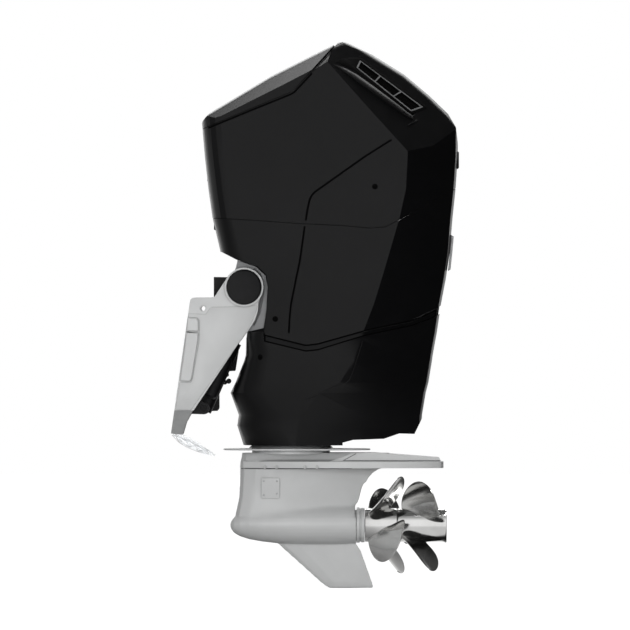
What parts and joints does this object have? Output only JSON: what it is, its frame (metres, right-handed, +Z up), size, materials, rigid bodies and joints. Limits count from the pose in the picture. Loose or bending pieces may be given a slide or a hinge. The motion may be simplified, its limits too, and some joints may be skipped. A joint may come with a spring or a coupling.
{
  "type": "outboard motor",
  "caption": "Large outboard motor on transom clamp brackets, with a tilting leg, a lift-off cowl with a service hatch, a gearcase that steers below the leg, and twin counter-rotating propellers.",
  "frame": {"origin": "on the centre plane, where the transom's top edge meets the faces of the clamp brackets", "axes": "+X aft, towards the propellers; +Y starboard; +Z up"},
  "size_m": [1.1455, 0.616, 2.186],
  "materials": {
    "cowl_paint": "satin black paint on moulded cowls, glossier at the rear corners",
    "black_plastic": "moulded black plastic",
    "clear_plastic": "pale translucent moulded plastic",
    "silver_paint": "silver grey marine enamel on cast aluminium",
    "dark_casting": "black painted casting",
    "bare_aluminium": "satin bare aluminium",
    "anode_alloy": "dull cast sacrificial alloy",
    "polished_steel": "polished stainless steel",
    "ground_steel": "ground steel",
    "filter_paint": "black painted steel canister",
    "rubber": "black rubber"
  },
  "bodies": {
    "clamp": {"port_clamp_bracket": "silver_paint", "starboard_clamp_bracket": "silver_paint", "port_bracket_anode": "anode_alloy", "starboard_bracket_anode": "anode_alloy", "port_pivot_cap": "black_plastic", "starboard_pivot_cap": "black_plastic", "port_spray_blade": "clear_plastic", "starboard_spray_blade": "clear_plastic", "tilt_tube": "ground_steel", "lower_ram_pin": "ground_steel", "ram_anchor": "dark_casting"},
    "engine": {"swivel_housing": "silver_paint", "swivel_front_block": "dark_casting", "middle_section": "dark_casting", "steering_bearing_ring": "black_plastic", "steering_actuator": "black_plastic", "transmission_case": "bare_aluminium", "engine_block": "bare_aluminium", "port_cylinder_head": "bare_aluminium", "starboard_cylinder_head": "bare_aluminium", "port_cam_cover": "black_plastic", "starboard_cam_cover": "black_plastic", "port_exhaust_manifold": "dark_casting", "starboard_exhaust_manifold": "dark_casting", "intake_plenum": "black_plastic", "engine_control_box": "black_plastic", "oil_filter": "filter_paint", "alternator": "bare_aluminium", "drive_belt": "rubber", "port_lower_cowl": "cowl_paint", "starboard_lower_cowl": "cowl_paint", "port_mid_cover": "cowl_paint", "starboard_mid_cover": "cowl_paint", "waist_seal": "rubber", "cowl_seal": "rubber", "rear_grip_plate": "silver_paint"},
    "upper_cowl": {"upper_cowl": "cowl_paint", "service_tray": "black_plastic", "oil_filler_cap": "black_plastic", "hatch_seal": "rubber", "port_air_vent": "bare_aluminium", "starboard_air_vent": "bare_aluminium"},
    "hatch": {"service_hatch": "cowl_paint"},
    "tilt_cylinder": {"tilt_cylinder": "dark_casting", "trim_reservoir": "black_plastic"},
    "tilt_ram": {"tilt_ram_rod": "ground_steel"},
    "crank": {"crankshaft_and_flywheel": "ground_steel"},
    "gearcase": {"gearcase_upper": "silver_paint", "gearcase_lower": "silver_paint", "splash_plate": "silver_paint", "bearing_carrier": "silver_paint", "port_intake_cover": "silver_paint", "starboard_intake_cover": "silver_paint"},
    "drive_shaft": {"drive_shaft_and_pinion": "ground_steel"},
    "rear_prop": {"inner_propeller_shaft": "ground_steel", "rear_propeller": "polished_steel", "rear_propeller_nut": "polished_steel"},
    "front_prop": {"outer_propeller_shaft": "ground_steel", "front_propeller": "polished_steel", "front_propeller_nut": "ground_steel"}
  },
  "joints": [
    {"name": "tilt", "type": "hinge", "parent": "clamp", "child": "engine", "pos_m": [0.22, 0, 0.087], "axis": [0, -1, 0], "range_deg": [0, 66]},
    {"name": "cylinder_swing", "type": "hinge", "parent": "clamp", "child": "tilt_cylinder", "pos_m": [0.059, 0, -0.396], "axis": [0, 1, 0], "range_deg": [0, 12.5]},
    {"name": "ram_travel", "type": "slide", "parent": "tilt_cylinder", "child": "tilt_ram", "axis": [0.4036, 0, 0.9149], "range_m": [0, 0.142]},
    {"name": "steer", "type": "hinge", "parent": "engine", "child": "gearcase", "pos_m": [0.407, 0, -0.555], "axis": [0, 0, 1], "range_deg": [-45, 45]},
    {"name": "cowl_lift", "type": "slide", "parent": "engine", "child": "upper_cowl", "axis": [0, 0, 1], "range_m": [0, 0.35]},
    {"name": "hatch_open", "type": "hinge", "parent": "upper_cowl", "child": "hatch", "pos_m": [0.579, 0, 1.054], "axis": [0, 1, 0], "range_deg": [0, 60]},
    {"name": "rear_prop_spin", "type": "hinge", "parent": "gearcase", "child": "rear_prop", "pos_m": [0.93, 0, -0.864], "axis": [1, 0, 0], "continuous": true},
    {"name": "front_prop_spin", "type": "hinge", "parent": "gearcase", "child": "front_prop", "pos_m": [0.766, 0, -0.864], "axis": [1, 0, 0], "continuous": true},
    {"name": "drive_shaft_spin", "type": "hinge", "parent": "gearcase", "child": "drive_shaft", "pos_m": [0.407, 0, -0.864], "axis": [0, 0, 1], "continuous": true},
    {"name": "crank_spin", "type": "hinge", "parent": "engine", "child": "crank", "pos_m": [0.407, 0, 0], "axis": [0, 0, 1], "continuous": true}
  ],
  "couplings": [
    {"joint": "cylinder_swing", "follows": "tilt", "ratio": 0.18162},
    {"joint": "ram_travel", "follows": "tilt", "m_per_rad": 0.12201},
    {"joint": "front_prop_spin", "follows": "rear_prop_spin", "ratio": -1},
    {"joint": "drive_shaft_spin", "follows": "rear_prop_spin", "ratio": 1.5},
    {"joint": "crank_spin", "follows": "rear_prop_spin", "ratio": 1.5}
  ]
}
